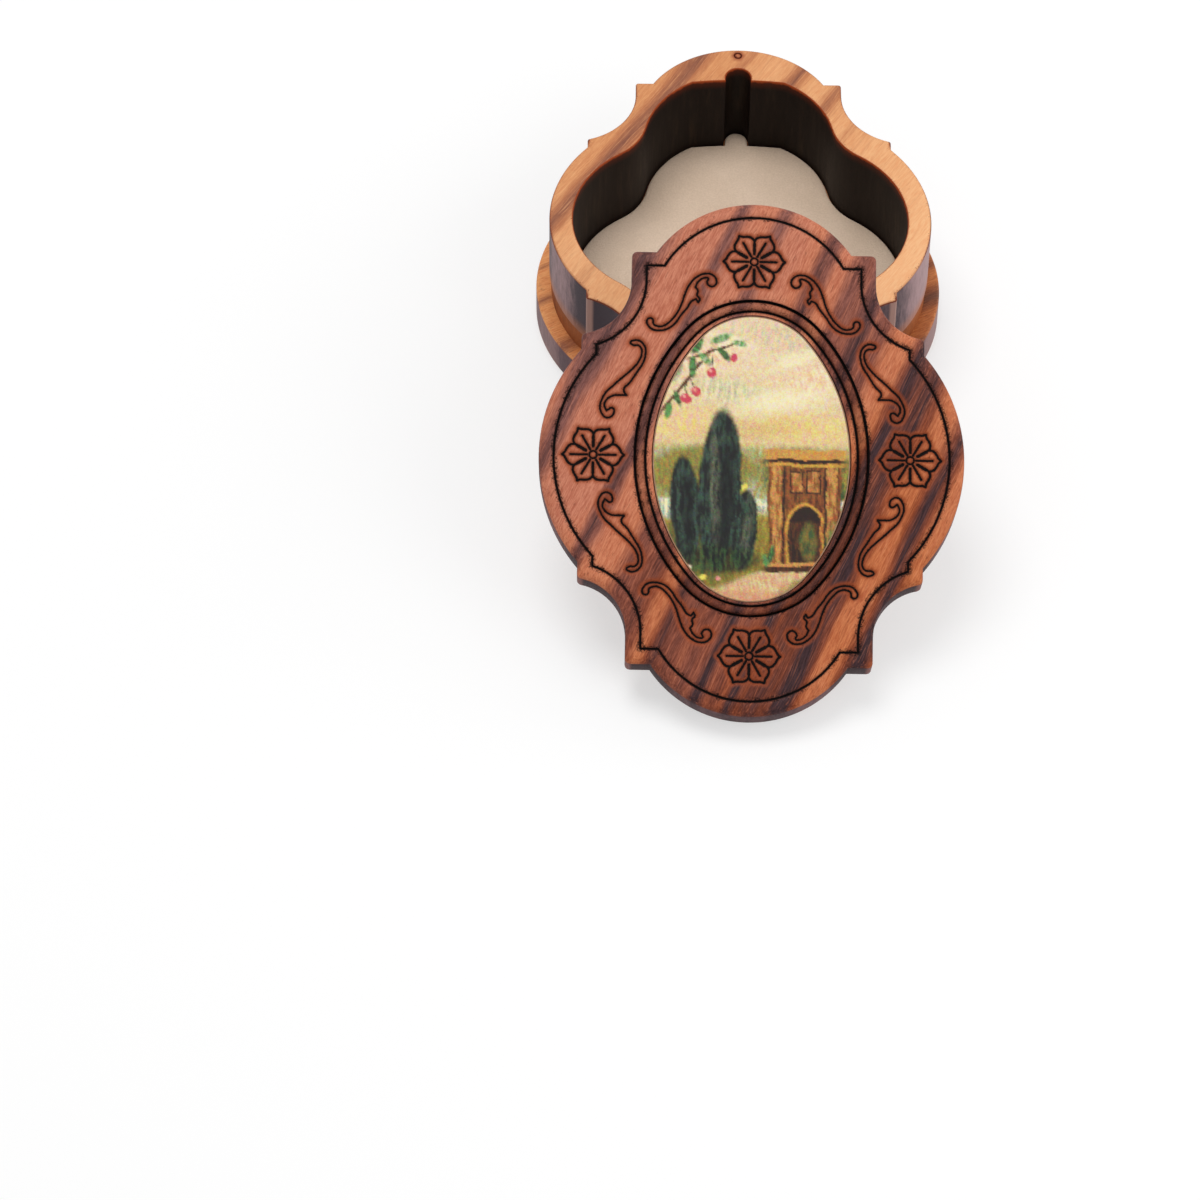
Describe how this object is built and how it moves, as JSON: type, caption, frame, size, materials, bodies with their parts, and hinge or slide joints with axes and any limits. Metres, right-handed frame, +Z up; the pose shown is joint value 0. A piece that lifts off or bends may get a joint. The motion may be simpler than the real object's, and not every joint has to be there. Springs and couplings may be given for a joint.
{
  "type": "small keepsake box with a lift-off lid",
  "caption": "Barbed-oval wooden keepsake box with a felt-lined cavity and a lift-off lid that has an oval picture, a bead moulding and burnt flowers.",
  "frame": {"origin": "centre of the foot board's underside, on the table", "axes": "+Z up; +Y along the long axis of the box, away from the open lid, towards the key slot; +X to the right"},
  "size_m": [0.0691, 0.1344, 0.0447],
  "materials": {
    "foot_wood": "bare olive-type wood, light on top and darker at the sawn side, satin",
    "plinth_wood": "bare orange-brown wood, satin",
    "wall_wood": "bare olive-type wood, light tan rim, streaked purple-brown outside, scorched nearly black inside, satin",
    "felt": "beige felt",
    "lid_wood": "reddish olive-type wood with dark slanting bands, burnt lines, satin",
    "plate_wood": "bare wood, satin",
    "picture_card": "printed card with a soft sheen"
  },
  "bodies": {
    "base": {"foot_board": "foot_wood", "plinth_ring": "plinth_wood", "wall_ring": "wall_wood", "floor_felt": "felt"},
    "lid": {"lid_board": "lid_wood", "locating_plate": "plate_wood", "picture_oval": "picture_card"}
  },
  "joints": [
    {"name": "lid_lift", "type": "slide", "parent": "base", "child": "lid", "axis": [0, 0, 1], "range_m": [0, 0.035]}
  ]
}
